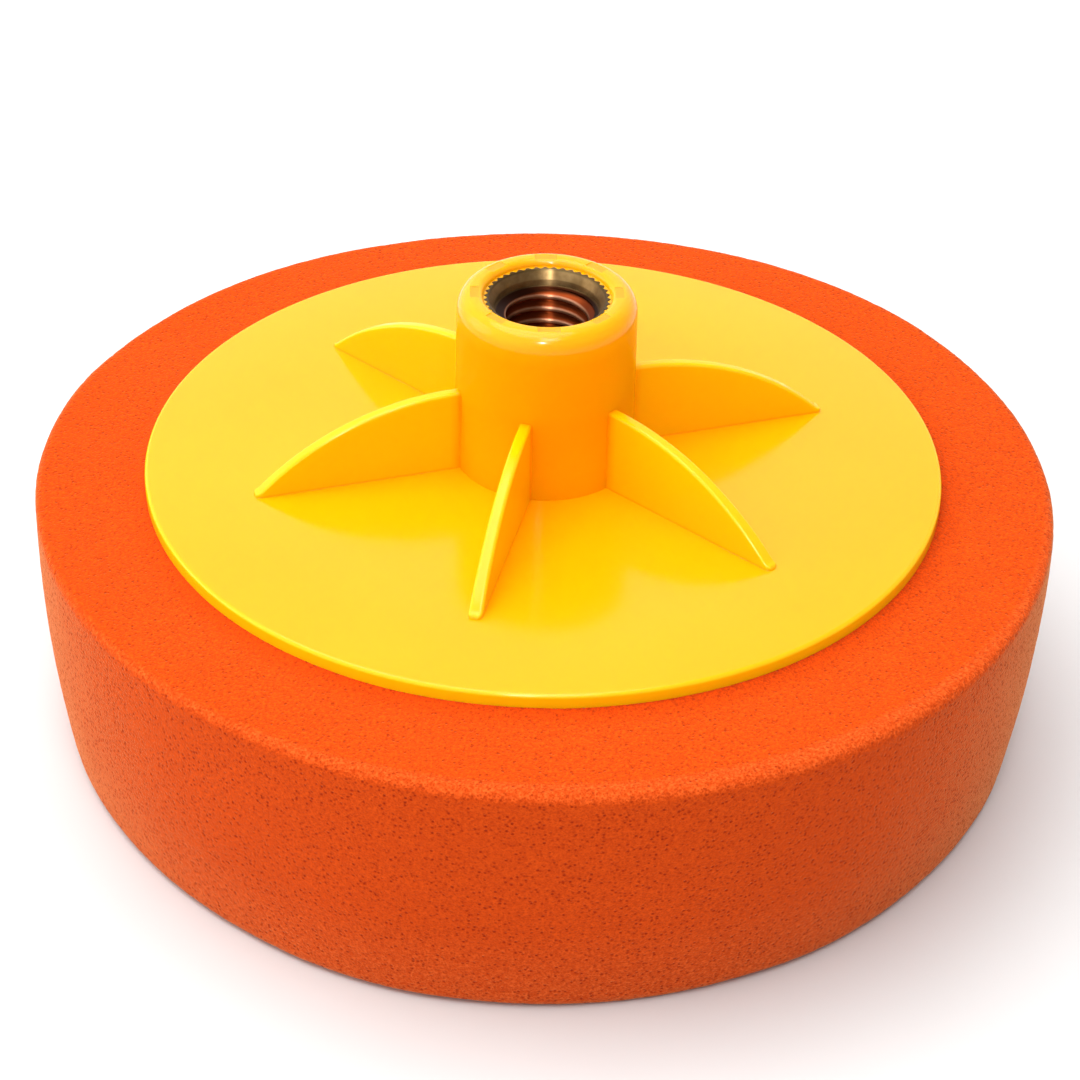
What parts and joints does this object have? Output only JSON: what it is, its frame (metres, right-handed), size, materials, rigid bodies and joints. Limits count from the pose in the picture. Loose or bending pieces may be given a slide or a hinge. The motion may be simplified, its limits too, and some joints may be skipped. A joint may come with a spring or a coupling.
{
  "type": "polishing pad",
  "caption": "Screw-on polishing pad: a thick foam disc bonded to a ribbed plastic backing plate with a threaded metal insert in its centre boss.",
  "frame": {"origin": "centre of the foam's working face, on the spindle axis, at the part's lowest point", "axes": "+Z along the spindle axis, from the working face towards the machine"},
  "size_m": [0.15, 0.15, 0.0709],
  "materials": {
    "foam": "open-cell polyurethane foam, matt, saturated orange",
    "adhesive": "thin cured contact adhesive, amber",
    "plate_plastic": "glossy injection-moulded plastic, warm yellow",
    "insert_brass": "turned brass, slightly dull, reddish in the thread"
  },
  "bodies": {
    "root": {"foam_pad": "foam", "adhesive_layer": "adhesive", "backing_plate": "plate_plastic", "threaded_insert": "insert_brass"}
  },
  "joints": []
}
